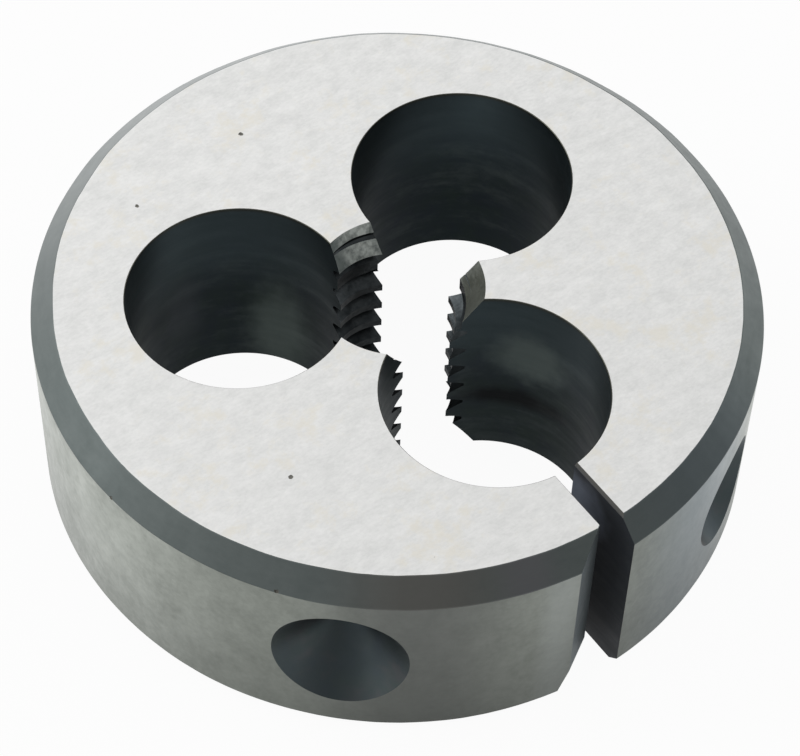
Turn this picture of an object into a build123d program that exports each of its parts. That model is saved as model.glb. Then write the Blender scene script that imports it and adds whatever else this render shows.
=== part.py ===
from build123d import *
import math
import os

# Round split threading die: one solid disc of hardened tool steel.
# Frame: millimetres, +Z up, origin on the axis of the rim in the plane of the underside.
# The slit opens towards -Y, and the side with the wider rim chamfer faces up.

# ---- Disc ---------------------------------------------------------------------------------
outside_diameter = 20.0
thickness = 6.6
top_edge_chamfer = 0.62
bottom_edge_chamfer = 0.33

# ---- Thread: right hand, 60 degree flanks, No. 8 inch size with 32 threads to the inch -------
thread_major_diameter = 4.17
thread_pitch = 25.4 / 32
thread_angle = 60.0
thread_start_depth = 0.445

# The bore and its thread stand a little behind the axis of the rim.
bore_centre_y = 0.14

# ---- Lead-in cones at both ends of the bore, which cut back the first threads ----------------
top_lead_in_diameter = 4.74
bottom_lead_in_diameter = 4.7
lead_in_angle = 60.0

# ---- Chip holes: they break into the bore and leave one toothed land between each two --------
chip_hole_count = 3
chip_hole_diameter = 6.18
chip_hole_centre_radius = 4.35

# ---- Slit from the front chip hole out to the rim ---------------------------------------------
slit_width = 0.65
slit_centre_x = -0.05

# ---- Seat for the spreading screw: a flat bevel on the left jaw of the slit --------------------
spreader_seat_width = 1.0
spreader_seat_depth = 0.70
jaw_relief_height = 1.15
jaw_relief_depth = 0.27

# ---- Conical seats for the two closing screws, on the rim at mid-thickness ---------------------
screw_seat_diameter = 4.0
screw_seat_angle = 90.0
left_seat_turn = -44.4
right_seat_turn = 30.3

# ---- Length by which every cutting shape passes the faces it cuts ------------------------------
cut_clearance = 1.0

# ---- Sizes that follow from the ones above ------------------------------------------------------
outside_radius = outside_diameter / 2
chip_hole_radius = chip_hole_diameter / 2
mid_height = thickness / 2
front = -90.0

# Thread form: a sharp triangle of the given angle, cut flat by an eighth of its height at the
# root and by five sixteenths at the crest, so the flats are 1/8 and 5/16 of the pitch.
root_flat_share = 1 / 8
crest_flat_share = 5 / 16
flank_run = math.tan(math.radians(thread_angle / 2))
thread_depth = (1 - root_flat_share - crest_flat_share) * thread_pitch / (2 * flank_run)
major_radius = thread_major_diameter / 2
minor_radius = major_radius - thread_depth
root_half = root_flat_share * thread_pitch / 2

# The groove cutter reaches a little past the crest into the open bore.
cutter_reach = thread_depth + crest_flat_share * thread_pitch / 4
cutter_mouth_half = root_half + cutter_reach * flank_run
groove_turns = math.ceil((thread_start_depth + thickness + cutter_mouth_half) / thread_pitch)

lead_in_run = math.tan(math.radians(lead_in_angle / 2))
top_lead_in_radius = top_lead_in_diameter / 2
bottom_lead_in_radius = bottom_lead_in_diameter / 2
top_lead_in_tip = thickness - top_lead_in_radius / lead_in_run
bottom_lead_in_tip = bottom_lead_in_radius / lead_in_run

slit_left = slit_centre_x - slit_width / 2
slit_length = outside_radius + cut_clearance - chip_hole_centre_radius

# Corner points of the bevel on the left jaw: inner edge on the slit wall, outer edge on the rim.
seat_inner = Vector(slit_left, spreader_seat_depth - outside_radius, 0)
seat_rim_x = slit_left - spreader_seat_width
seat_outer = Vector(seat_rim_x, -math.sqrt(outside_radius**2 - seat_rim_x**2), 0)
seat_line = (seat_outer - seat_inner).normalized()
seat_normal = Vector(-seat_line.Y, seat_line.X, 0)
seat_length = (seat_outer - seat_inner).length
seat_run_out = seat_outer + seat_line * cut_clearance
relief_start = seat_inner - seat_line * slit_width / 2
relief_length = slit_width / 2 + seat_length + cut_clearance

screw_seat_radius = screw_seat_diameter / 2
screw_seat_run = math.tan(math.radians(screw_seat_angle / 2))
screw_seat_depth = screw_seat_radius / screw_seat_run

# Each seat is cut along a plane normal that points from outside the rim to the thread axis.
seat_planes = []
for seat_turn in (left_seat_turn, right_seat_turn):
    seat_bearing = math.radians(front + seat_turn)
    outward = Vector(math.cos(seat_bearing), math.sin(seat_bearing), 0)
    seat_mouth = outward * (outside_radius + cut_clearance) + Vector(0, 0, mid_height)
    seat_planes.append(Plane(seat_mouth, z_dir=-outward))

# One turn of the thread groove. It starts and ends over the front chip hole, so consecutive
# turns meet in the open and the lands carry one unbroken helix.
with BuildPart() as groove_turn:
    with BuildLine(Plane.XY.offset(-thread_start_depth).rotated((0, 0, front))) as groove_path:
        Helix(pitch=thread_pitch, height=thread_pitch, radius=major_radius)
    groove_start = groove_path.line @ 0
    groove_heading = groove_path.line % 0
    radially_out = Vector(groove_start.X, groove_start.Y, 0).normalized()
    with BuildSketch(Plane(groove_start, x_dir=radially_out, z_dir=groove_heading)) as groove:
        with BuildLine():
            Polyline(
                (0, -root_half),
                (0, root_half),
                (-cutter_reach, cutter_mouth_half),
                (-cutter_reach, -cutter_mouth_half),
                close=True,
            )
        make_face()
    sweep(path=groove_path.line, is_frenet=True)

with BuildPart() as die_body:
    # Disc with its two rim chamfers, turned in one profile that starts straight behind the slit.
    with BuildSketch(Plane.YZ) as disc_profile:
        with BuildLine():
            Polyline(
                (0, 0),
                (outside_radius - bottom_edge_chamfer, 0),
                (outside_radius, bottom_edge_chamfer),
                (outside_radius, thickness - top_edge_chamfer),
                (outside_radius - top_edge_chamfer, thickness),
                (0, thickness),
                close=True,
            )
        make_face()
    revolve(axis=Axis.Z)

    # Bore at the crest of the thread.
    with BuildSketch(Plane.XY.offset(-cut_clearance)) as bore:
        with Locations((0, bore_centre_y)):
            Circle(minor_radius)
    extrude(amount=thickness + 2 * cut_clearance, mode=Mode.SUBTRACT)

    # Lead-in cones, true to the rim, whose tips would meet the axis inside the open bore.
    with BuildSketch(Plane.XZ) as lead_in_profile:
        with BuildLine():
            Polyline(
                (0, -cut_clearance),
                (bottom_lead_in_radius + cut_clearance * lead_in_run, -cut_clearance),
                (0, bottom_lead_in_tip),
                close=True,
            )
        make_face()
        with BuildLine():
            Polyline(
                (0, thickness + cut_clearance),
                (0, top_lead_in_tip),
                (top_lead_in_radius + cut_clearance * lead_in_run, thickness + cut_clearance),
                close=True,
            )
        make_face()
    revolve(axis=Axis.Z, mode=Mode.SUBTRACT)

    # Thread: turn upon turn of the helical groove, which runs out through both lead-in cones.
    with Locations(*[(0, bore_centre_y, turn * thread_pitch) for turn in range(groove_turns)]):
        add(groove_turn.part, mode=Mode.SUBTRACT)

    # Chip holes right through: the front one meets the slit.
    with BuildSketch(Plane.XY.offset(-cut_clearance)) as chip_holes:
        with PolarLocations(chip_hole_centre_radius, chip_hole_count, start_angle=front):
            Circle(chip_hole_radius)
    extrude(amount=thickness + 2 * cut_clearance, mode=Mode.SUBTRACT)

    # Relief that lets the foot of the bevel lean back from the screw. It starts in the open slit.
    with BuildSketch(Plane(relief_start, x_dir=seat_normal, z_dir=seat_line)) as jaw_relief:
        with BuildLine():
            Polyline(
                (0, jaw_relief_height),
                (-jaw_relief_depth, 0),
                (-jaw_relief_depth, -cut_clearance),
                (slit_width / 2, -cut_clearance),
                (slit_width / 2, jaw_relief_height),
                close=True,
            )
        make_face()
    extrude(amount=relief_length, mode=Mode.SUBTRACT)

    # Conical screw seats, sunk radially into the rim on both sides of the slit.
    with Locations(*seat_planes):
        Cone(
            screw_seat_radius + cut_clearance * screw_seat_run,
            0,
            screw_seat_depth + cut_clearance,
            align=(Align.CENTER, Align.CENTER, Align.MIN),
            mode=Mode.SUBTRACT,
        )

    # Slit and, in the same sketch plane, the flat bevel that the spreading screw bears on. The
    # faces stay unmerged, so the rim is two half walls that meet straight behind the slit.
    with BuildSketch(Plane.XY.offset(-cut_clearance)) as slit:
        with Locations((slit_centre_x, -chip_hole_centre_radius - slit_length / 2)):
            Rectangle(slit_width, slit_length)
        with BuildLine():
            Polyline(
                (seat_inner.X, seat_inner.Y),
                (seat_run_out.X, seat_run_out.Y),
                (slit_centre_x, -outside_radius - 2 * cut_clearance),
                (slit_centre_x, seat_inner.Y),
                close=True,
            )
        make_face()
    extrude(amount=thickness + 2 * cut_clearance, mode=Mode.SUBTRACT, clean=False)

die_body.part.label = "die_body"
os.makedirs("parts", exist_ok=True)
export_step(die_body.part, "parts/die_body.step")
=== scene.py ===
"""Dresses the round threading die: a ground steel disc whose holes, slit and seats stay dark from hardening.

Shapes are cut in millimetres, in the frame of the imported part, and brought to metres when they are whole.
"""
import functools
import logging
import math
from collections.abc import Callable, Iterable, Sequence
from dataclasses import dataclass, field
from enum import Enum

import bmesh
import bpy
from mathutils import Matrix, Vector, noise


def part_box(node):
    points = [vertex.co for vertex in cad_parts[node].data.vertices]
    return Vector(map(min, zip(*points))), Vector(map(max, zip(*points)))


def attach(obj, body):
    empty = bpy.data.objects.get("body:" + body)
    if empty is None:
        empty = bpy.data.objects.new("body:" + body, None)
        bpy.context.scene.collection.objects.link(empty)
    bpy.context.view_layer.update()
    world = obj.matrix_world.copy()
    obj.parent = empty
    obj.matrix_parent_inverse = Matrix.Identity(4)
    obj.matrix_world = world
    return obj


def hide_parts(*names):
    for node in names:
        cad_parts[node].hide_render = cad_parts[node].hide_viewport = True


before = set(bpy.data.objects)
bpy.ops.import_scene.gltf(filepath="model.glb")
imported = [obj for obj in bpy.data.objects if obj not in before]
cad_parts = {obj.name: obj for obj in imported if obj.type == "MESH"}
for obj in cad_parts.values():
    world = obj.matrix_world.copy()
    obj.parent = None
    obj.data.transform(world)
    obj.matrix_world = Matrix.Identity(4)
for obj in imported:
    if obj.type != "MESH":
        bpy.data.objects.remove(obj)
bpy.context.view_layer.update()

BODY = "root"
NODE = "die_body"
METRES_PER_MM = 0.001
MM_PER_METRE = 1000.0
FULL_TURN = 360.0
FRONT = -90.0

# Height of the top face, width of the upper rim chamfer, and how far cutters pass what they cut, in mm.
FACE_HEIGHT = 6.6
TOP_CHAMFER = 0.62
REACH = 1.0

# Sockets of a Mix node that mixes colours: its two colours and its result.
MIX_COLOURS = (6, 7)
MIX_RESULT = 2

log = logging.getLogger("threading_die")

Ring = list[Vector]
Triple = tuple[float, float, float]
Colour = Triple
Solid = bpy.types.Object
Node = bpy.types.Node
Socket = bpy.types.NodeSocket
Sockets = dict[str, Socket]
Tree = bpy.types.NodeTree


class Surface(Enum):
    """The kinds of surface on the die. Each one is a material slot of its own."""

    FACE = 0
    RIM = 1
    CHAMFER = 2
    LEAD_IN = 3
    THREAD = 4
    CHIP_WALL = 5
    SLIT_WALL = 6
    SPREADER_SEAT = 7
    SCREW_SEAT = 8
    PIT = 9


# ---- Mesh making ----


def polar(radius: float, bearing: float, height: float = 0.0) -> Vector:
    """A point at a radius and a bearing in degrees round the rim's axis, at a height."""
    angle = math.radians(bearing)
    return Vector((radius * math.cos(angle), radius * math.sin(angle), height))


def direction(bearing: float, height: float) -> Vector:
    """A unit vector at a bearing and at a height over the horizon, both in degrees."""
    rise = math.radians(height)
    return polar(math.cos(rise), bearing, math.sin(rise))


def circle(radius: float, height: float, points: int) -> Ring:
    """A ring of evenly spaced points round the rim's axis."""
    return [polar(radius, FULL_TURN * k / points, height) for k in range(points)]


def loft(name: str, rings: Sequence[Ring], ends: Surface, walls: Sequence[Surface] = ()) -> Solid:
    """Skins a closed solid over a row of rings.

    Args:
        name: Name of the new object.
        rings: Rings with equal numbers of points, from one end of the solid to the other.
        ends: The surface of the two flat caps.
        walls: The surface of each strip between two rings, where it isn't that of the caps.

    Returns:
        The solid, with one material slot for each kind of surface.
    """
    sheet = bmesh.new()
    rows = [[sheet.verts.new(point) for point in ring] for ring in rings]
    count = len(rows[0])
    for lower, upper, surface in zip(rows, rows[1:], walls or [ends] * len(rows)):
        for k in range(count):
            after = (k + 1) % count
            face = sheet.faces.new((lower[k], lower[after], upper[after], upper[k]))
            face.material_index = surface.value
    for row in (rows[0], rows[-1]):
        sheet.faces.new(row).material_index = ends.value
    bmesh.ops.recalc_face_normals(sheet, faces=sheet.faces)
    return solid_of(name, sheet)


def stand(name: str, data: bpy.types.ID) -> Solid:
    """Makes an object of its data and links it to the scene."""
    thing = bpy.data.objects.new(name, data)
    bpy.context.scene.collection.objects.link(thing)
    return thing


def solid_of(name: str, sheet: bmesh.types.BMesh) -> Solid:
    """Turns a finished bmesh into an object with one material slot for each kind of surface."""
    mesh = bpy.data.meshes.new(name)
    sheet.to_mesh(mesh)
    sheet.free()
    for surface in Surface:
        mesh.materials.append(bpy.data.materials.get(surface.name) or bpy.data.materials.new(surface.name))
    return stand(name, mesh)


def flared_prism(
    name: str, outline: Callable[[float], Ring], thickness: float, edge: float, wall: Surface
) -> Solid:
    """Makes a straight cutter that widens at both faces of the disc, which breaks the edges.

    Args:
        name: Name of the cutter.
        outline: Gives the cutter's outline at height 0, moved outwards by a distance.
        thickness: Thickness of the disc.
        edge: Width of the broken edge.
        wall: The surface that the cutter leaves.
    """
    flare = edge + REACH
    levels = [(-REACH, flare), (edge, 0.0), (thickness - edge, 0.0), (thickness + REACH, flare)]
    rings = [[point + Vector((0, 0, height)) for point in outline(spread)] for height, spread in levels]
    return loft(name, rings, wall)


def offset_outline(corners: Sequence[tuple[float, float]], spread: float) -> Ring:
    """Moves each side of a convex outline outwards. Its corners come counter-clockwise, as x and y."""
    ring = []
    count = len(corners)
    for k in range(count):
        before, here, after = (Vector(corners[(k + step) % count]) for step in (-1, 0, 1))
        first, second = (here - before).normalized(), (after - here).normalized()
        first_out, second_out = Vector((first.y, -first.x)), Vector((second.y, -second.x))
        mitre = (first_out + second_out) / (1 + first_out.dot(second_out))
        moved = here + mitre * spread
        ring.append(Vector((moved.x, moved.y, 0)))
    return ring


def cut(body: Solid, cutter: Solid) -> None:
    """Takes the cutter's solid out of the body and deletes the cutter."""
    modifier = body.modifiers.new("cut", "BOOLEAN")
    modifier.operation = "DIFFERENCE"
    modifier.solver = "MANIFOLD"
    modifier.object = cutter
    depsgraph = bpy.context.evaluated_depsgraph_get()
    result = bpy.data.meshes.new_from_object(body.evaluated_get(depsgraph))
    body.modifiers.clear()
    spent = (body.data, cutter.data)
    body.data = result
    bpy.data.objects.remove(cutter)
    for mesh in spent:
        bpy.data.meshes.remove(mesh)


# ---- The die, one class for each thing that the maker does to the blank ----


@dataclass
class Blank:
    """The turned disc with its two rim chamfers, whose edges are a little uneven."""

    radius: float
    thickness: float
    top_chamfer: float = TOP_CHAMFER
    bottom_chamfer: float = 0.33
    edge_break: float = 0.02
    unevenness: float = 0.016
    ripples: float = 5.0
    falloff: float = 0.7
    step: float = 2.2
    octaves: int = 4
    points: int = 720

    def stray(self, bearing: float, level: float) -> float:
        """How far an edge strays from true at a bearing, in mm."""
        spot = polar(self.ripples, bearing, level)
        return self.unevenness * noise.fractal(spot, self.falloff, self.step, self.octaves)

    def ring(self, radius: float, height: float, sway: float = 0.0, lift: float = 0.0) -> Ring:
        """A ring of the profile, uneven along the radius by sway and along the height by lift."""
        ring = []
        for k in range(self.points):
            bearing = FULL_TURN * k / self.points
            stray = self.stray(bearing, radius + height)
            ring.append(polar(radius + sway * stray, bearing, height + lift * stray))
        return ring

    def build(self) -> Solid:
        """Turns the disc."""
        rim, top, edge = self.radius, self.thickness, self.edge_break
        lower_inner = rim - self.bottom_chamfer
        shoulder = top - self.top_chamfer
        face_radius = rim - self.top_chamfer
        rings = [
            self.ring(lower_inner - edge, 0.0, sway=1.0),
            self.ring(lower_inner + edge / 2, edge / 2, sway=1.0),
            self.ring(rim - edge / 2, self.bottom_chamfer - edge / 2, lift=1.0),
            self.ring(rim, self.bottom_chamfer + edge, lift=1.0),
            self.ring(rim, shoulder - edge, lift=1.0),
            self.ring(rim - edge / 2, shoulder + edge / 2, lift=1.0),
            self.ring(face_radius + edge / 2, top - edge / 2, sway=1.0),
            self.ring(face_radius - edge, top, sway=1.0),
        ]
        walls = [Surface.CHAMFER] * 3 + [Surface.RIM] + [Surface.CHAMFER] * 3
        return loft("die_body_ground", rings, Surface.FACE, walls)


@dataclass
class ThreadedBore:
    """The bore at the thread's crests, a lead-in cone at each end, and the helical groove."""

    thickness: float
    major_diameter: float = 4.17
    pitch: float = 25.4 / 32
    flank_angle: float = 60.0
    start_depth: float = 0.445
    centre_y: float = 0.14
    top_lead_in: float = 4.74
    bottom_lead_in: float = 4.7
    lead_in_angle: float = 60.0
    root_share: float = 1 / 8
    crest_share: float = 5 / 16
    tip_left_off: float = 0.3
    points: int = 144
    minor_radius: float = field(init=False)

    def __post_init__(self) -> None:
        """Works out the crest radius from the thread form."""
        slope = math.tan(math.radians(self.flank_angle / 2))
        depth = (1 - self.root_share - self.crest_share) * self.pitch / (2 * slope)
        self.minor_radius = self.major_diameter / 2 - depth

    @property
    def aside(self) -> Vector:
        """Where the thread's axis stands from the rim's axis."""
        return Vector((0, self.centre_y, 0))

    def bore(self) -> Solid:
        """Makes the cutter for the plain bore at the thread's crests."""
        rings = [
            [self.aside + point for point in circle(self.minor_radius, height, self.points)]
            for height in (-REACH, self.thickness + REACH)
        ]
        return loft("bore", rings, Surface.THREAD)

    def lead_ins(self) -> list[Solid]:
        """Makes the two cones that open the bore's ends."""
        run = math.tan(math.radians(self.lead_in_angle / 2))
        top, bottom = self.top_lead_in / 2, self.bottom_lead_in / 2
        cones = []
        for name, mouth, level, way in (("top", top, self.thickness, 1.0), ("bottom", bottom, 0.0, -1.0)):
            tip = mouth / run
            rings = [
                circle(mouth + REACH * run, level + way * REACH, self.points),
                circle(mouth * self.tip_left_off, level - way * tip * (1 - self.tip_left_off), self.points),
            ]
            cones.append(loft(f"{name}_lead_in", rings, Surface.LEAD_IN))
        return cones

    def groove(self) -> Solid:
        """Makes the cutter for the helical groove, which rises anticlockwise from the front."""
        slope = math.tan(math.radians(self.flank_angle / 2))
        major = self.major_diameter / 2
        root_half = self.root_share * self.pitch / 2
        inner = self.minor_radius - self.crest_share * self.pitch / 4
        mouth_half = root_half + (major - inner) * slope
        turns = math.ceil((self.start_depth + self.thickness + mouth_half) / self.pitch)
        section = [(inner, -mouth_half), (major, -root_half), (major, root_half), (inner, mouth_half)]
        rings = []
        for k in range(turns * self.points + 1):
            turned = k / self.points
            rise = turned * self.pitch - self.start_depth
            bearing = FRONT + FULL_TURN * turned
            rings.append([self.aside + polar(radius, bearing, rise + height) for radius, height in section])
        return loft("groove", rings, Surface.THREAD)


@dataclass
class WornTooth:
    """A first tooth that use has taken back on one land. Its top and bottom are depths under the face."""

    name: str
    land: float
    radius: float
    top: float
    bottom: float
    spread: float = 35.0
    points: int = 24

    def cutter(self, aside: Vector, thickness: float) -> Solid:
        """Makes the slice that takes the tooth back, round a thread that stands aside of the axis."""
        bearings = [self.land + self.spread * (2 * k / self.points - 1) for k in range(self.points + 1)]
        slice_ = [polar(0.0, 0.0), *(polar(self.radius, bearing) for bearing in bearings)]
        rings = [
            [aside + point + Vector((0, 0, thickness - depth)) for point in slice_]
            for depth in (self.bottom, self.top)
        ]
        return loft(self.name, rings, Surface.THREAD)


@dataclass
class ChipHoles:
    """Three holes round the bore that carry the chips away."""

    thickness: float
    count: int = 3
    diameter: float = 6.18
    centre_radius: float = 4.35
    edge_break: float = 0.02
    points: int = 240

    def cutters(self) -> list[Solid]:
        """Makes the three cutters."""
        cutters = []
        for number in range(self.count):
            centre = polar(self.centre_radius, FRONT + FULL_TURN * number / self.count)

            def outline(spread: float, centre: Vector = centre) -> Ring:
                """The hole's circle, widened."""
                radius = self.diameter / 2 + spread
                return [centre + point for point in circle(radius, 0.0, self.points)]

            name = f"chip_hole_{number}"
            cutters.append(flared_prism(name, outline, self.thickness, self.edge_break, Surface.CHIP_WALL))
        return cutters


@dataclass
class Slit:
    """The slit from the front hole to the rim, with the spreading screw's seat on its left jaw."""

    rim_radius: float
    thickness: float
    inner_end: float = 4.35
    width: float = 0.65
    centre_x: float = -0.05
    seat_width: float = 1.0
    seat_depth: float = 0.70
    relief_height: float = 1.15
    relief_depth: float = 0.27
    edge_break: float = 0.015
    jaw_wear: float = 0.08
    wear_start: float = 2.6

    @property
    def left(self) -> float:
        """Where the left wall stands."""
        return self.centre_x - self.width / 2

    @property
    def seat_inner(self) -> Vector:
        """The seat's corner on the slit wall."""
        return Vector((self.left, self.seat_depth - self.rim_radius))

    @property
    def seat_line(self) -> Vector:
        """The seat's direction in plan, from the slit wall out to the rim."""
        outer_x = self.left - self.seat_width
        outer = Vector((outer_x, -math.sqrt(self.rim_radius**2 - outer_x**2)))
        return (outer - self.seat_inner).normalized()

    def straight(self, name: str, corners: Sequence[tuple[float, float]], wall: Surface) -> Solid:
        """Makes a straight cutter over an outline, which breaks the edges that it leaves."""
        outline = functools.partial(offset_outline, corners)
        return flared_prism(name, outline, self.thickness, self.edge_break, wall)

    def channel(self) -> Solid:
        """Makes the straight cutter for the slit."""
        outer = -self.rim_radius - REACH
        right = self.centre_x + self.width / 2
        corners = [(self.left, -self.inner_end), (self.left, outer), (right, outer), (right, -self.inner_end)]
        return self.straight("slit", corners, Surface.SLIT_WALL)

    def seat(self) -> Solid:
        """Makes the wedge that cuts the flat seat on the left jaw."""
        inner, middle = self.seat_inner, self.centre_x
        outer = inner + self.seat_line * (self.seat_width + 2 * REACH)
        corners = [(inner.x, inner.y), (outer.x, outer.y), (middle, outer.y), (middle, inner.y)]
        return self.straight("spreader_seat", corners, Surface.SPREADER_SEAT)

    def worn_edge(self) -> Solid:
        """Makes the strip that wear has taken off the right jaw's top edge."""
        right, top, wear = self.centre_x + self.width / 2, self.thickness, self.jaw_wear
        section = [(right - wear, top - 2 * wear), (right + 2 * wear, top + wear), (right - wear, top + wear)]
        rings = [
            [Vector((side, -along, height)) for side, height in section]
            for along in (self.inner_end + self.wear_start, self.rim_radius + REACH)
        ]
        return loft("worn_edge", rings, Surface.SLIT_WALL)

    def relief(self) -> Solid:
        """Makes the wedge that lets the seat's foot lean back."""
        inner, along = self.seat_inner, self.seat_line
        out = Vector((-along.y, along.x))
        half = self.width / 2
        section = [
            (0.0, self.relief_height),
            (-self.relief_depth, 0.0),
            (-self.relief_depth, -REACH),
            (half, -REACH),
            (half, self.relief_height),
        ]
        rings = []
        for distance in (-half, self.seat_width + 2 * REACH):
            start = inner + along * distance
            rings.append(
                [Vector((start.x + out.x * side, start.y + out.y * side, height)) for side, height in section]
            )
        return loft("jaw_relief", rings, Surface.SLIT_WALL, [Surface.SPREADER_SEAT])


@dataclass(frozen=True)
class ScrewSeat:
    """Conical seat sunk into the rim for one closing screw."""

    turn: float
    diameter: float
    drop: float = 0.0


@dataclass
class ScrewSeats:
    """The seats for the two closing screws; the one on the right is a little smaller and lower."""

    rim_radius: float
    height: float
    cone_angle: float = 90.0
    seats: tuple[ScrewSeat, ...] = (ScrewSeat(-44.4, 4.0), ScrewSeat(28.9, 3.4, 0.2))
    blunt: float = 0.07
    points: int = 160

    def cutters(self) -> list[Solid]:
        """Makes one cone for each seat."""
        run = math.tan(math.radians(self.cone_angle / 2))
        cutters = []
        for number, seat in enumerate(self.seats):
            tip = self.rim_radius - seat.diameter / 2 / run
            stations = [
                (self.rim_radius + REACH, seat.diameter / 2 + REACH * run),
                (tip + self.blunt / run, self.blunt),
                (tip + self.blunt / run / 2, self.blunt / 3),
            ]
            outward = polar(1.0, FRONT + seat.turn)
            sideways = Vector((-outward.y, outward.x, 0))
            up = Vector((0, 0, 1))
            rings = []
            for distance, radius in stations:
                centre = outward * distance + up * (self.height - seat.drop)
                spokes = circle(radius, 0.0, self.points)
                rings.append([centre + sideways * spoke.x + up * spoke.y for spoke in spokes])
            cutters.append(loft(f"screw_seat_{number}", rings, Surface.SCREW_SEAT))
        return cutters


@dataclass
class Dent:
    """One small dent from handling, with a ragged outline."""

    name: str
    bearing: float
    radius: float
    height: float
    width: float
    depth: float
    raggedness: float = 0.35
    grain: float = 3.1

    def cutter(self) -> Solid:
        """Makes the ragged lump that leaves the dent."""
        lump = bmesh.new()
        bmesh.ops.create_icosphere(lump, subdivisions=3, radius=0.5)
        for vertex in lump.verts:
            swell = noise.noise(vertex.co * self.grain + Vector((self.bearing, 0, 0)))
            vertex.co *= 1 + self.raggedness * swell
            x, y, z = vertex.co
            vertex.co = (x * self.width, y * self.width, z * 2 * self.depth)
        for face in lump.faces:
            face.material_index = Surface.PIT.value
        lump.transform(Matrix.Translation(polar(self.radius, self.bearing, self.height)))
        return solid_of(self.name, lump)


# ---- Finishes ----


class Sheet:
    """A node tree being laid out, with short calls for what every finish needs."""

    def __init__(self, tree: Tree) -> None:
        """Takes the tree to lay out."""
        self.tree = tree

    @classmethod
    def of(cls, owner: bpy.types.Material | bpy.types.World) -> "Sheet":
        """Opens the node tree of a material or a world."""
        owner.use_nodes = True
        return cls(owner.node_tree)

    def add(self, kind: str, **settings: object) -> Node:
        """Adds a node and sets its properties."""
        node = self.tree.nodes.new(kind)
        for name, value in settings.items():
            setattr(node, name, value)
        return node

    def feed(self, socket: Socket, value: object) -> None:
        """Links an output to a socket, or sets the socket's own value."""
        if isinstance(value, Socket):
            self.tree.links.new(value, socket)
        else:
            socket.default_value = value

    def feed_all(self, node: Node, values: Iterable[object]) -> None:
        """Feeds a node's inputs in their order."""
        for socket, value in zip(node.inputs, values):
            self.feed(socket, value)

    def math(self, operation: str, *values: object, clamp: bool = False) -> Socket:
        """Adds a Math node over the values and returns its output."""
        node = self.add("ShaderNodeMath", operation=operation, use_clamp=clamp)
        self.feed_all(node, values)
        return node.outputs[0]

    def feed_named(self, node: Node, values: dict[str, object]) -> None:
        """Feeds a node's inputs by their names."""
        for name, value in values.items():
            self.feed(node.inputs[name], value)

    def times(self, first: object, second: object) -> Socket:
        """Multiplies two values."""
        return self.math("MULTIPLY", first, second)

    def total(self, *parts: tuple[object, float]) -> Socket:
        """Adds up values, each times its own share."""
        first, *others = (self.times(value, share) for value, share in parts)
        for other in others:
            first = self.math("ADD", first, other)
        return first

    def vector(self, operation: str, *values: object) -> Socket:
        """Adds a Vector Math node over the values and returns its output: a number if it measures one."""
        node = self.add("ShaderNodeVectorMath", operation=operation)
        self.feed_all(node, values)
        return node.outputs["Value" if operation in ("LENGTH", "DOT_PRODUCT") else "Vector"]

    def scaled(self, vector: Socket, scale: Triple) -> Socket:
        """Multiplies a vector by a fixed scale along each axis."""
        return self.vector("MULTIPLY", vector, scale)

    def noise(self, vector: Socket, scale: object, detail: float, roughness: float = 0.55) -> Socket:
        """Adds a noise over a vector and returns its value."""
        node = self.add("ShaderNodeTexNoise")
        self.feed_named(node, {"Vector": vector, "Scale": scale, "Detail": detail, "Roughness": roughness})
        return node.outputs["Fac"]

    def ramp(
        self, value: Socket, low: object, high: object, *onto: float, course: str = "SMOOTHSTEP"
    ) -> Socket:
        """Maps a value onto 0 to 1, or onto the range given, and holds it at the ends."""
        node = self.add("ShaderNodeMapRange", interpolation_type=course)
        out_low, out_high = onto or (0.0, 1.0)
        limits = {"From Min": low, "From Max": high, "To Min": out_low, "To Max": out_high}
        self.feed_named(node, {"Value": value, **limits})
        return node.outputs["Result"]

    def blend(self, share: object, first: object, second: object) -> Socket:
        """Mixes two colours by a share."""
        node = self.add("ShaderNodeMix", data_type="RGBA")
        self.feed(node.inputs[0], share)
        for socket, colour in zip(MIX_COLOURS, (first, second)):
            self.feed(node.inputs[socket], (*colour, 1.0) if isinstance(colour, tuple) else colour)
        return node.outputs[MIX_RESULT]

    def reflected(self, path: Node) -> Socket:
        """One for rays that a mirror or glass sends on, and none for the others."""
        return self.math("MAXIMUM", path.outputs["Is Glossy Ray"], path.outputs["Is Transmission Ray"])

    def group(self, effect: Tree, **values: object) -> Sockets:
        """Places an effect's node group, feeds its inputs and returns its outputs by name."""
        node = self.add("ShaderNodeGroup", node_tree=effect)
        self.feed_named(node, {name.capitalize(): value for name, value in values.items()})
        return dict(node.outputs.items())


def new_effect(
    name: str, inputs: dict[str, float | None], lay_out: Callable[..., Sockets]
) -> Tree:
    """Makes a shader node group, whose outputs are all values.

    Args:
        name: The effect's name.
        inputs: Name and default of each input. A vector has None.
        lay_out: Lays out the effect on a sheet, from the inputs, and returns its outputs by name.
    """
    group = bpy.data.node_groups.new(name, "ShaderNodeTree")
    for label, default in inputs.items():
        kind = "Vector" if default is None else "Float"
        socket = group.interface.new_socket(label, in_out="INPUT", socket_type=f"NodeSocket{kind}")
        if default is not None:
            socket.default_value = default
    sheet = Sheet(group)
    given = sheet.add("NodeGroupInput").outputs
    results = lay_out(sheet, *(given[label] for label in inputs))
    for label in results:
        group.interface.new_socket(label, in_out="OUTPUT", socket_type="NodeSocketFloat")
    sheet.feed_named(sheet.add("NodeGroupOutput"), results)
    return group


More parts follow.
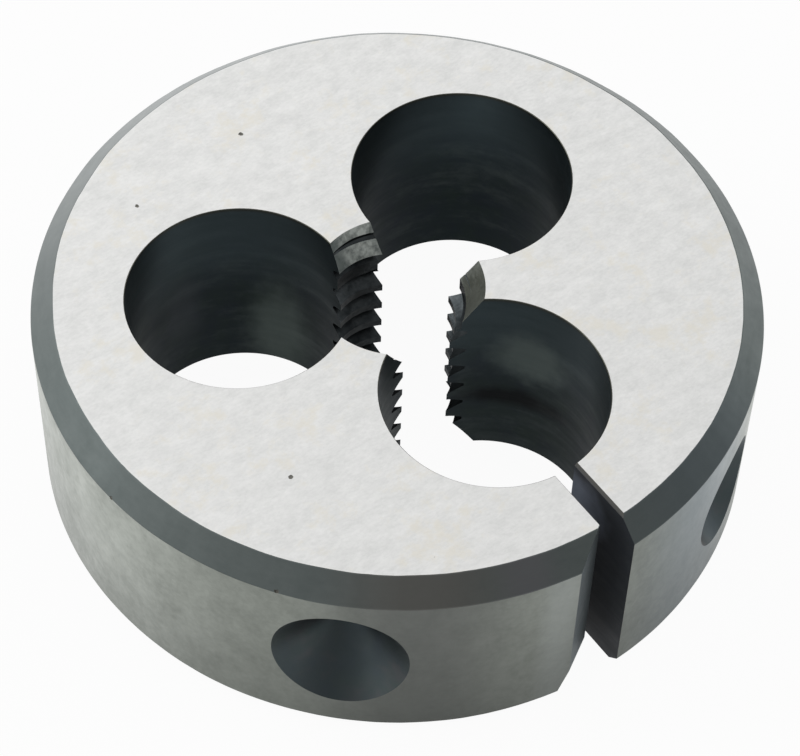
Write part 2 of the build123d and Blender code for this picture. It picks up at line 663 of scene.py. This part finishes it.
class Effects:
    """The effects that more than one finish uses, each built once.

    A core is the share of a speck, band or spot that has its full strength. A wobble is how far its
    edge strays, as a share of the same.
    """

    FINER = 4.3
    CLOUD_GAIN = 2.4
    COARSER = 0.31
    SPECK_WOBBLE = 0.1
    SPECK_CORE = 0.4
    BAND_CORE = 0.1
    SPOT_GRAIN = 1.6
    SPOT_WOBBLE = 0.5
    SPOT_CORE = 0.25

    def __init__(self) -> None:
        """Builds every effect."""
        at = {"Point": None}
        self.place = new_effect("Turned place", at, self._place)
        self.cloud = new_effect("Cloudy tone", {**at, "Size": 1.0, "Contrast": 1.0}, self._cloud)
        self.grain = new_effect("Tool lines", {**at, "Fineness": 1.0, "Breaks": 1.0}, self._grain)
        self.specks = new_effect("Specks", {**at, "Spacing": 1.0, "Size": 0.1}, self._specks)
        self.band = new_effect("Upright band", {"Turn": 0.0, "Middle": 0.0, "Spread": 10.0}, self._band)
        self.spot = new_effect("Soft spot", {**at, "Centre": None, "Reach": None}, self._spot)

    def _place(self, sheet: Sheet, point: Socket) -> Sockets:
        """Turns a point into degrees from the front, a direction from the axis, and a height in mm."""
        parts = sheet.add("ShaderNodeSeparateXYZ")
        sheet.feed(parts.inputs[0], sheet.scaled(point, (MM_PER_METRE,) * 3))
        x, y, z = parts.outputs
        squares = [sheet.times(part, part) for part in (x, y)]
        radius = sheet.math("SQRT", sheet.math("ADD", *squares))
        turn = sheet.math("ARCTAN2", x, sheet.times(y, -1.0))
        return {
            "Turn": sheet.times(turn, FULL_TURN / math.tau),
            "Across": sheet.math("DIVIDE", x, radius),
            "Along": sheet.math("DIVIDE", y, radius),
            "Height": z,
        }

    def _cloud(self, sheet: Sheet, point: Socket, size: Socket, contrast: Socket) -> Sockets:
        """Soft blotches at two sizes, as light lies on ground steel."""
        density = sheet.math("DIVIDE", MM_PER_METRE, size)
        broad = sheet.noise(point, density, detail=5.0, roughness=0.62)
        finer = sheet.times(density, self.FINER)
        fine = sheet.noise(point, finer, detail=3.0, roughness=0.6)
        mixed = sheet.total((broad, 0.6), (fine, 0.4))
        gain = sheet.times(contrast, self.CLOUD_GAIN)
        centred = sheet.times(sheet.math("SUBTRACT", mixed, 0.5), gain)
        return {"Tone": sheet.math("ADD", centred, 0.5, clamp=True)}

    def _grain(self, sheet: Sheet, point: Socket, fineness: Socket, breaks: Socket) -> Sockets:
        """Fine lines left by a wheel or a tool, long one way and narrow the other."""
        fine = sheet.noise(point, fineness, detail=2.0, roughness=0.7)
        coarser = sheet.times(fineness, self.COARSER)
        coarse = sheet.noise(point, coarser, detail=3.0, roughness=0.6)
        mixed = sheet.total((fine, 0.55), (coarse, 0.45))
        cut_up = sheet.times(sheet.math("SUBTRACT", mixed, 0.5), breaks)
        return {"Lines": sheet.math("ADD", cut_up, 0.5, clamp=True)}

    def _specks(self, sheet: Sheet, point: Socket, spacing: Socket, size: Socket) -> Sockets:
        """Small scattered dark specks."""
        cells = sheet.add("ShaderNodeTexVoronoi")
        density = sheet.math("DIVIDE", MM_PER_METRE, spacing)
        sheet.feed_named(cells, {"Vector": point, "Scale": density})
        ragged = sheet.noise(point, sheet.math("DIVIDE", MM_PER_METRE, size), detail=2.0)
        wobble = sheet.times(ragged, self.SPECK_WOBBLE)
        centred = sheet.math("SUBTRACT", wobble, self.SPECK_WOBBLE / 2)
        away = sheet.math("ADD", cells.outputs["Distance"], centred)
        share = sheet.math("DIVIDE", size, spacing)
        core = sheet.times(share, self.SPECK_CORE)
        return {"Mask": sheet.math("SUBTRACT", 1.0, sheet.ramp(away, core, share))}

    def _band(self, sheet: Sheet, turn: Socket, middle: Socket, spread: Socket) -> Sockets:
        """A soft upright band at a turn from the front: full at its middle, gone past its spread."""
        apart = sheet.math("ABSOLUTE", sheet.math("SUBTRACT", turn, middle))
        away = sheet.math("DIVIDE", apart, spread)
        return {"Mask": sheet.ramp(away, self.BAND_CORE, 1.0, 1.0, 0.0)}

    def _spot(self, sheet: Sheet, point: Socket, centre: Socket, reach: Socket) -> Sockets:
        """A soft spot round a centre, ragged at its edge and gone past its reach."""
        apart = sheet.vector("SUBTRACT", point, centre)
        away = sheet.vector("LENGTH", sheet.vector("DIVIDE", apart, reach))
        ragged = sheet.noise(point, self.SPOT_GRAIN * MM_PER_METRE, detail=2.0)
        wobble = sheet.times(ragged, self.SPOT_WOBBLE)
        edge = sheet.math("ADD", away, sheet.math("SUBTRACT", wobble, self.SPOT_WOBBLE / 2))
        return {"Mask": sheet.ramp(edge, self.SPOT_CORE, 1.0, 1.0, 0.0)}


@dataclass(frozen=True)
class Band:
    """A soft upright band of another colour on a wall round the axis. Many bands are painted light and shade.
    """

    turn: float
    spread: float
    colour: Colour
    strength: float = 1.0


@dataclass(frozen=True)
class Spot:
    """A soft spot of another colour, placed and sized in millimetres."""

    centre: Triple
    reach: Triple
    colour: Colour
    strength: float = 1.0


@dataclass(frozen=True, kw_only=True)
class Finish:
    """What every finish shares: a Principled surface laid out on its own sheet.

    The relief's depth is in millimetres. Its low places are rougher and its high ones smoother, by
    the two parts of the spread.
    """

    roughness: float
    depth: float
    spread: tuple[float, float] = (0.08, 0.08)
    metallic: float = 1.0

    def begin(self, surface: Surface) -> tuple[Sheet, Node, Socket]:
        """Takes up a surface's material: its sheet, its Principled node, and the point in metres."""
        sheet = Sheet.of(bpy.data.materials[surface.name])
        principled = sheet.tree.nodes["Principled BSDF"]
        return sheet, principled, sheet.add("ShaderNodeTexCoord").outputs["Object"]

    def banded(
        self, sheet: Sheet, effects: Effects, turn: Socket, colour: Socket, bands: Sequence[Band]
    ) -> Socket:
        """Lays soft upright bands over a colour."""
        for band in bands:
            mask = sheet.group(effects.band, turn=turn, middle=band.turn, spread=band.spread)["Mask"]
            colour = sheet.blend(sheet.times(mask, band.strength), colour, band.colour)
        return colour

    def spotted(
        self, sheet: Sheet, effects: Effects, point: Socket, colour: Socket, spots: Sequence[Spot]
    ) -> Socket:
        """Lays soft spots over a colour."""
        for spot in spots:
            centre, reach = (tuple(part * METRES_PER_MM for part in mm) for mm in (spot.centre, spot.reach))
            mask = sheet.group(effects.spot, point=point, centre=centre, reach=reach)["Mask"]
            colour = sheet.blend(sheet.times(mask, spot.strength), colour, spot.colour)
        return colour

    def coat(self, sheet: Sheet, principled: Node, colour: Socket, relief: Socket) -> None:
        """Colours the surface, and lets its relief raise and smooth it."""
        rougher, smoother = self.spread
        bump = sheet.add("ShaderNodeBump")
        sheet.feed_named(bump, {"Distance": self.depth * METRES_PER_MM, "Height": relief})
        looks = {
            "Base Color": colour,
            "Metallic": self.metallic,
            "Roughness": sheet.ramp(relief, 0.0, 1.0, self.roughness + rougher, self.roughness - smoother),
            "Normal": bump.outputs["Normal"],
        }
        sheet.feed_named(principled, looks)


@dataclass(frozen=True, kw_only=True)
class GroundFace(Finish):
    """The flat faces: bright surface-ground steel, mottled finely and a little warm in places."""

    light: Colour = (0.855, 0.855, 0.845)
    dull: Colour = (0.675, 0.68, 0.67)
    warm: Colour = (0.76, 0.735, 0.665)
    stain: Colour = (0.25, 0.25, 0.24)
    roughness: float = 0.42
    depth: float = 0.004
    spread: tuple[float, float] = (0.06, 0.06)
    mottle_stretch: float = 0.6
    line_stretch: float = 0.16
    fineness: float = 7.0

    def dress(self, surface: Surface, effects: Effects) -> None:
        """Lays out the material."""
        sheet, principled, point = self.begin(surface)
        wide = sheet.scaled(point, (self.mottle_stretch, 1.0, 1.0))
        mottle = sheet.group(effects.cloud, point=wide, size=0.36, contrast=1.45)["Tone"]
        broad = sheet.group(effects.cloud, point=point, size=1.6, contrast=1.2)["Tone"]
        long = sheet.scaled(point, (self.line_stretch, 1.0, 1.0))
        fineness = self.fineness * MM_PER_METRE
        lines = sheet.group(effects.grain, point=long, fineness=fineness, breaks=1.5)["Lines"]
        mixed = sheet.total((mottle, 0.62), (broad, 0.24), (lines, 0.14))
        specks = sheet.group(effects.specks, point=point, spacing=4.0, size=0.09)["Mask"]
        steel = sheet.blend(mixed, self.dull, self.light)
        tinted = sheet.blend(sheet.ramp(broad, 0.52, 0.95, 0.0, 0.75), steel, self.warm)
        self.coat(sheet, principled, sheet.blend(specks, tinted, self.stain), mixed)


@dataclass(frozen=True, kw_only=True)
class TurnedSteel(Finish):
    """A wall round the axis: tool lines that run round it, cloudy blotches, bands of another tone, some of
    them painted light and shade, and painted shade towards its foot.
    """

    light: Colour
    dull: Colour
    lines_up: float
    lines_around: float
    blotch: float
    contrast: float = 1.0
    bands: tuple[Band, ...] = ()
    # Painted shade: how much darker the wall is painted towards its foot, from foot_low up to foot_high mm,
    # where the floor it mirrors lies in shadow.
    foot: float = 0.0
    foot_low: float = 0.2
    foot_high: float = 5.6
    foot_painted_shade: Colour = (0.11, 0.12, 0.11)

    def dress(self, surface: Surface, effects: Effects) -> None:
        """Lays out the material."""
        sheet, principled, point = self.begin(surface)
        place = sheet.group(effects.place, point=point)
        wrapped = sheet.add("ShaderNodeCombineXYZ")
        densities = {"Across": self.lines_around, "Along": self.lines_around, "Height": self.lines_up}
        sheet.feed_all(wrapped, (sheet.times(place[name], density) for name, density in densities.items()))
        lines = sheet.group(effects.grain, point=wrapped.outputs[0], fineness=1.0, breaks=1.6)["Lines"]
        tone = sheet.group(effects.cloud, point=point, size=self.blotch, contrast=self.contrast)["Tone"]
        mixed = sheet.total((tone, 0.6), (lines, 0.4))
        colour = sheet.blend(mixed, self.dull, self.light)
        colour = self.banded(sheet, effects, place["Turn"], colour, self.bands)
        # Painted shade, darker towards the foot.
        if self.foot:
            low = sheet.ramp(place["Height"], self.foot_low, self.foot_high, self.foot, 0.0)
            colour = sheet.blend(low, colour, self.foot_painted_shade)
        self.coat(sheet, principled, colour, mixed)


@dataclass(frozen=True, kw_only=True)
class HardenedSteel(Finish):
    """Steel left dark from hardening: near black, between blue and green, with faint tool marks.

    The tool marks run level round a hole, and its mouth turns brown where the heat ran out. Painted light
    makes the upper part of a hole lighter towards its mouth.
    """

    blue: Colour = (0.023, 0.031, 0.041)
    green: Colour = (0.026, 0.039, 0.036)
    worn: Colour = (0.050, 0.063, 0.064)
    brown: Colour = (0.085, 0.082, 0.062)
    # Painted light: the colour that the upper part of a hole is painted towards its mouth.
    upper: Colour = (0.100, 0.138, 0.152)
    roughness: float = 0.36
    depth: float = 0.005
    spread: tuple[float, float] = (0.08, 0.06)
    marks: Triple = (0.14, 0.14, 1.0)
    mark_fineness: float = 2.4
    mouth: float = 0.0
    mouth_width: float = 0.16
    painted_light_width: float = 4.0
    bands: tuple[Band, ...] = ()
    spots: tuple[Spot, ...] = ()

    def dress(self, surface: Surface, effects: Effects) -> None:
        """Lays out the material."""
        sheet, principled, point = self.begin(surface)
        tone = sheet.group(effects.cloud, point=point, size=2.6, contrast=1.5)["Tone"]
        flat = sheet.scaled(point, (1.0, 1.0, 1.6))
        patches = sheet.group(effects.cloud, point=flat, size=1.7, contrast=1.2)["Tone"]
        marked = sheet.scaled(point, self.marks)
        fineness = self.mark_fineness * MM_PER_METRE
        lines = sheet.group(effects.grain, point=marked, fineness=fineness, breaks=2.0)["Lines"]
        rubbed = sheet.total((lines, 0.55), (patches, 0.45))
        colour = sheet.blend(tone, self.blue, self.green)
        colour = sheet.blend(sheet.ramp(rubbed, 0.42, 0.85), colour, self.worn)
        place = sheet.group(effects.place, point=point)
        if self.mouth:
            # The brown at the mouth, and painted light over the upper part, lighter towards the mouth.
            for width, most, brown_and_painted_light in (
                (self.painted_light_width, 0.8, self.upper),
                (self.mouth_width, 0.85, self.brown),
            ):
                near = sheet.ramp(place["Height"], self.mouth - width, self.mouth, 0.0, most)
                colour = sheet.blend(near, colour, brown_and_painted_light)
        colour = self.spotted(sheet, effects, point, colour, self.spots)
        colour = self.banded(sheet, effects, place["Turn"], colour, self.bands)
        self.coat(sheet, principled, colour, lines)


# Painted shade: the dark colour laid over and under the point of a screw seat, where the cone reflects little
# light.
SEAT_POINT_PAINTED_SHADE: Colour = (0.020, 0.026, 0.028)

FINISHES: dict[Surface, Finish] = {
    Surface.FACE: GroundFace(),
    Surface.RIM: TurnedSteel(
        light=(0.375, 0.400, 0.362), dull=(0.222, 0.240, 0.214), roughness=0.38, lines_up=0.9,
        lines_around=26.0, blotch=0.8, depth=0.004,
        # Painted reflection: a dark band beside the left screw seat at -33 degrees, and lighter bands at
        # -10.5 and 19 degrees, the one at 19 also bluish.
        bands=(
            Band(-33.0, 22.0, (0.115, 0.121, 0.117), 0.74),
            Band(-10.5, 5.0, (0.42, 0.45, 0.44), 0.5),
            Band(19.0, 20.0, (0.345, 0.395, 0.425), 0.8),
        ),
        # Painted shade towards the rim's foot.
        foot=0.42,
    ),
    Surface.CHAMFER: TurnedSteel(
        light=(0.138, 0.157, 0.154), dull=(0.094, 0.110, 0.108), roughness=0.42, lines_up=9.0,
        lines_around=14.0, blotch=1.2, depth=0.003, contrast=0.8,
        # The bands at -32, -16 and 20 degrees lay warmer, purplish and darker blue colour on the chamfer. The
        # two bands round the back are painted reflection, lighter where the chamfer faces away.
        bands=(
            Band(-32.0, 18.0, (0.130, 0.124, 0.114), 0.7),
            Band(-16.0, 7.0, (0.145, 0.138, 0.150), 0.5),
            Band(20.0, 26.0, (0.082, 0.100, 0.110), 0.62),
            Band(180.0, 75.0, (0.30, 0.32, 0.32), 0.8),
            Band(-180.0, 75.0, (0.30, 0.32, 0.32), 0.8),
        ),
    ),
    Surface.LEAD_IN: TurnedSteel(
        light=(0.80, 0.84, 0.80), dull=(0.12, 0.14, 0.135), roughness=0.62, lines_up=4.0,
        lines_around=12.0, blotch=0.7, depth=0.008, contrast=2.4,
        # Painted light and shade: the band at 57 degrees paints the lead-in on the right land darker than on
        # the other lands. The band at -163 degrees lays a lighter grey-green.
        bands=(Band(57.0, 60.0, (0.085, 0.090, 0.070), 0.86), Band(-163.0, 13.0, (0.14, 0.17, 0.165), 0.75)),
    ),
    Surface.THREAD: TurnedSteel(
        light=(0.060, 0.067, 0.070), dull=(0.014, 0.017, 0.019), roughness=0.34, lines_up=6.0,
        lines_around=9.0, blotch=0.7, depth=0.006, contrast=1.6,
    ),
    Surface.CHIP_WALL: HardenedSteel(
        # Brown at each hole's mouth, and painted light over its upper part.
        mouth=FACE_HEIGHT,
        spots=(
            Spot((-1.25, 3.96, 1.3), (1.3, 1.3, 2.9), (0.135, 0.168, 0.155), 0.7),
            Spot((-3.75, 5.27, 2.6), (0.9, 0.9, 2.2), (0.060, 0.070, 0.078), 0.6),
            Spot((2.62, -2.75, 4.25), (1.5, 1.6, 1.4), (0.170, 0.210, 0.197), 0.7),
            Spot((2.30, -2.45, 2.3), (2.2, 2.3, 0.6), (0.006, 0.008, 0.009), 1.0),
        ),
    ),
    Surface.SLIT_WALL: HardenedSteel(
        blue=(0.024, 0.027, 0.035), green=(0.029, 0.033, 0.037), worn=(0.046, 0.052, 0.060),
        # upper is the painted light towards the slit's mouth.
        brown=(0.060, 0.058, 0.048), upper=(0.034, 0.039, 0.047), roughness=0.5, metallic=0.3,
        mouth=FACE_HEIGHT,
        spots=(Spot((0.27, -7.8, 5.4), (1.0, 1.4, 1.25), (0.230, 0.262, 0.330), 0.95),),
    ),
    Surface.SPREADER_SEAT: HardenedSteel(
        blue=(0.155, 0.185, 0.202), green=(0.178, 0.205, 0.208), worn=(0.24, 0.26, 0.27), roughness=0.45
    ),
    Surface.SCREW_SEAT: HardenedSteel(
        blue=(0.072, 0.088, 0.100), green=(0.074, 0.094, 0.092), worn=(0.090, 0.096, 0.102),
        roughness=0.42, marks=(0.5, 0.5, 0.5),
        # Painted shade: a dark band over and under the left seat's point, and a dark spot on the right seat's
        # lower part.
        bands=(Band(-44.4, 8.0, SEAT_POINT_PAINTED_SHADE, 0.55),),
        spots=(Spot((3.5, -9.2, 2.3), (1.1, 0.9, 1.1), SEAT_POINT_PAINTED_SHADE, 0.9),),
    ),
    Surface.PIT: HardenedSteel(
        blue=(0.15, 0.15, 0.14), green=(0.19, 0.185, 0.16), worn=(0.26, 0.26, 0.24), roughness=0.6
    ),
}


# ---- The whole die ----


@dataclass
class ThreadingDie:
    """The finished die, cut from one blank."""

    radius: float
    thickness: float
    crease_angle: float = 14.0
    worn_teeth: tuple[WornTooth, ...] = (
        WornTooth("worn_back_tooth", land=90.0, radius=1.88, top=1.15, bottom=1.74),
        WornTooth("worn_right_tooth", land=-33.0, radius=1.95, top=0.6, bottom=1.2),
    )

    def dents(self) -> list[Dent]:
        """Three pits in the top face and two nicks where the chamfer meets the rim."""
        top, shoulder = self.thickness, self.thickness - TOP_CHAMFER
        return [
            Dent("pit_back", 93.6, 7.0, top, width=0.13, depth=0.02),
            Dent("pit_back_left", 123.7, 7.72, top, width=0.11, depth=0.015),
            Dent("pit_front_left", -149.5, 6.96, top, width=0.13, depth=0.02),
            Dent("nick_front", -143.9, self.radius, shoulder + 0.02, width=0.14, depth=0.05),
            Dent("nick_left", -174.0, self.radius, shoulder, width=0.12, depth=0.05),
        ]

    def build(self) -> None:
        """Cuts the die, brings it to metres and sets it in place of the plain node."""
        die = Blank(self.radius, self.thickness).build()
        bore = ThreadedBore(self.thickness)
        slit = Slit(self.radius, self.thickness)
        cutters = [
            bore.bore(),
            *bore.lead_ins(),
            bore.groove(),
            *(tooth.cutter(bore.aside, self.thickness) for tooth in self.worn_teeth),
            *ChipHoles(self.thickness).cutters(),
            slit.channel(),
            slit.seat(),
            slit.relief(),
            slit.worn_edge(),
            *ScrewSeats(self.radius, self.thickness / 2).cutters(),
            *(dent.cutter() for dent in self.dents()),
        ]
        for cutter in cutters:
            name = cutter.name
            cut(die, cutter)
            log.info("cut %s: %d faces", name, len(die.data.polygons))
        die.data.transform(Matrix.Scale(METRES_PER_MM, 4))
        die.data.polygons.foreach_set("use_smooth", [True] * len(die.data.polygons))
        die.data.set_sharp_from_angle(angle=math.radians(self.crease_angle))
        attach(die, BODY)
        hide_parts(NODE)

    def dress(self) -> None:
        """Gives each kind of surface its finish."""
        effects = Effects()
        for surface, finish in FINISHES.items():
            finish.dress(surface, effects)
            log.info("dressed %s", surface.name.lower())


# ---- Studio ----


@dataclass(frozen=True)
class Lamp:
    """A square soft lamp that faces the object.

    Its turn from the line of sight and its height over the horizon are in degrees, its distance and
    side in millimetres, and its power in watts.
    """

    name: str
    turn: float
    height: float
    away: float
    size: float
    power: float


@dataclass
class Studio:
    """A pale floor, soft light from all round, and the camera. Lengths are in millimetres."""

    top_centre: Vector
    look_bearing: float = 52.4
    look_dip: float = 53.172
    roll: float = -2.0653
    distance: float = 78.346
    aim_right: float = 0.0399
    aim_down: float = 2.5138
    lens: float = 129.807
    sensor: float = 36.0
    floor_reach: float = 2000.0
    floor_drop: float = 0.01
    floor_tone: float = 0.80
    floor_seen: float = 0.95
    floor_mirrored: float = 0.2
    floor_gain: float = 0.2
    floor_sides: float = 0.8
    floor_turn: float = 20.0
    sides_ahead: tuple[float, float] = (-9.7, -2.0)
    sides_away: tuple[float, float] = (9.6, 10.4)
    dome_plain: float = 0.62
    dome_bright: float = 1.46
    dome_dim: float = 0.43
    fade_turn: float = -135.0
    fade_height: float = 28.7
    lamps: tuple[Lamp, ...] = (
        Lamp("key", turn=80.0, height=38.0, away=300.0, size=180.0, power=0.24),
        Lamp("side", turn=-60.0, height=22.0, away=300.0, size=160.0, power=0.08),
    )

    def camera(self) -> None:
        """Sets the camera, which looks down at the front of the disc."""
        bearing, dip, roll = (math.radians(a) for a in (self.look_bearing, self.look_dip, self.roll))
        level = Vector((math.cos(bearing), math.sin(bearing), 0))
        forward = level * math.cos(dip) - Vector((0, 0, math.sin(dip)))
        right = Vector((math.sin(bearing), -math.cos(bearing), 0))
        up = right.cross(forward)
        turned_right = right * math.cos(roll) - up * math.sin(roll)
        turned_up = right * math.sin(roll) + up * math.cos(roll)
        place = self.top_centre - forward * self.distance
        place += turned_right * self.aim_right
        place -= turned_up * self.aim_down
        data = bpy.data.cameras.new("camera")
        data.lens, data.sensor_width, data.sensor_fit = self.lens, self.sensor, "HORIZONTAL"
        data.clip_start, data.clip_end = 0.001, 10.0
        camera = stand("camera", data)
        axes = Matrix((turned_right, turned_up, -forward)).transposed().to_4x4()
        camera.matrix_world = Matrix.Translation(place * METRES_PER_MM) @ axes
        bpy.context.scene.camera = camera

    def floor(self) -> None:
        """Lays the white floor, which keeps the object's shadow and shades what mirrors it."""
        reach, drop = self.floor_reach * METRES_PER_MM, self.floor_drop * METRES_PER_MM
        mesh = bpy.data.meshes.new("floor")
        corners = [(x * reach, y * reach, -drop) for x, y in ((-1, -1), (1, -1), (1, 1), (-1, 1))]
        mesh.from_pydata(corners, [], [(0, 1, 2, 3)])
        material = bpy.data.materials.new("floor_white")
        sheet = Sheet.of(material)
        principled = sheet.tree.nodes["Principled BSDF"]
        white = (self.floor_tone, self.floor_tone, self.floor_tone, 1.0)
        sheet.feed_named(principled, {"Base Color": white, "Roughness": 1.0, "Specular IOR Level": 0.0})
        glow = sheet.add("ShaderNodeEmission")
        path = sheet.add("ShaderNodeLightPath")
        mirrored = sheet.reflected(path)
        gain = sheet.times(mirrored, self.floor_gain)
        sheet.feed(glow.inputs["Strength"], sheet.math("ADD", gain, 1.0))
        place = sheet.add("ShaderNodeTexCoord").outputs["Object"]
        ahead = sheet.vector("DOT_PRODUCT", place, polar(MM_PER_METRE, self.look_bearing + self.floor_turn))
        away = sheet.vector("LENGTH", sheet.scaled(place, (MM_PER_METRE,) * 3))
        sides = sheet.ramp(ahead, *self.sides_ahead, 0.0, self.floor_sides)
        beyond = sheet.times(sheet.ramp(away, *self.sides_away), sides)
        seen = sheet.times(path.outputs["Is Camera Ray"], self.floor_seen)
        glowing = sheet.times(mirrored, sheet.math("ADD", self.floor_mirrored, beyond))
        mix = sheet.add("ShaderNodeMixShader")
        sheet.feed_all(mix, (sheet.math("ADD", seen, glowing), principled.outputs[0], glow.outputs[0]))
        sheet.feed(sheet.tree.nodes["Material Output"].inputs["Surface"], mix.outputs[0])
        mesh.materials.append(material)
        floor = stand("floor", mesh)

    def world(self) -> None:
        """Surrounds the object with a white dome that fades softly towards the front right."""
        world = bpy.data.worlds.new("studio")
        bpy.context.scene.world = world
        sheet = Sheet.of(world)
        path = sheet.add("ShaderNodeLightPath")
        side = direction(self.look_bearing + self.fade_turn, self.fade_height)
        toward = sheet.vector("DOT_PRODUCT", sheet.add("ShaderNodeTexCoord").outputs["Generated"], side)
        faded = sheet.ramp(toward, -1.0, 1.0, self.dome_bright, self.dome_dim, course="LINEAR")
        more = sheet.math("SUBTRACT", faded, self.dome_plain)
        dome = sheet.times(sheet.reflected(path), more)
        seen = sheet.times(path.outputs["Is Camera Ray"], 1.0 - self.dome_plain)
        strength = sheet.math("ADD", self.dome_plain, sheet.math("ADD", dome, seen))
        background = sheet.tree.nodes["Background"]
        sheet.feed_named(background, {"Color": (1.0, 1.0, 1.0, 1.0), "Strength": strength})

    def hang(self, lamp: Lamp) -> None:
        """Hangs one lamp."""
        data = bpy.data.lights.new(lamp.name, "AREA")
        data.shape, data.size, data.energy = "SQUARE", lamp.size * METRES_PER_MM, lamp.power
        toward = direction(self.look_bearing + lamp.turn, lamp.height)
        hung = stand(lamp.name, data)
        hung.location = toward * lamp.away * METRES_PER_MM
        hung.rotation_mode = "QUATERNION"
        hung.rotation_quaternion = toward.to_track_quat("Z", "Y")

    def build(self) -> None:
        """Sets the camera, the floor, the world and the lamps."""
        bpy.context.scene.view_settings.view_transform = "Standard"
        self.camera()
        self.floor()
        self.world()
        for lamp in self.lamps:
            self.hang(lamp)
        log.info("studio set")


def main() -> None:
    """Builds the die, dresses it and sets the studio."""
    logging.basicConfig(level=logging.INFO, format="%(name)s: %(message)s")
    low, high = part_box(NODE)
    radius = (high.x - low.x) / 2 * MM_PER_METRE
    thickness = (high.z - low.z) * MM_PER_METRE
    die = ThreadingDie(radius, thickness)
    die.build()
    die.dress()
    Studio(top_centre=Vector((0, 0, thickness))).build()


if __name__ == "__main__":
    main()
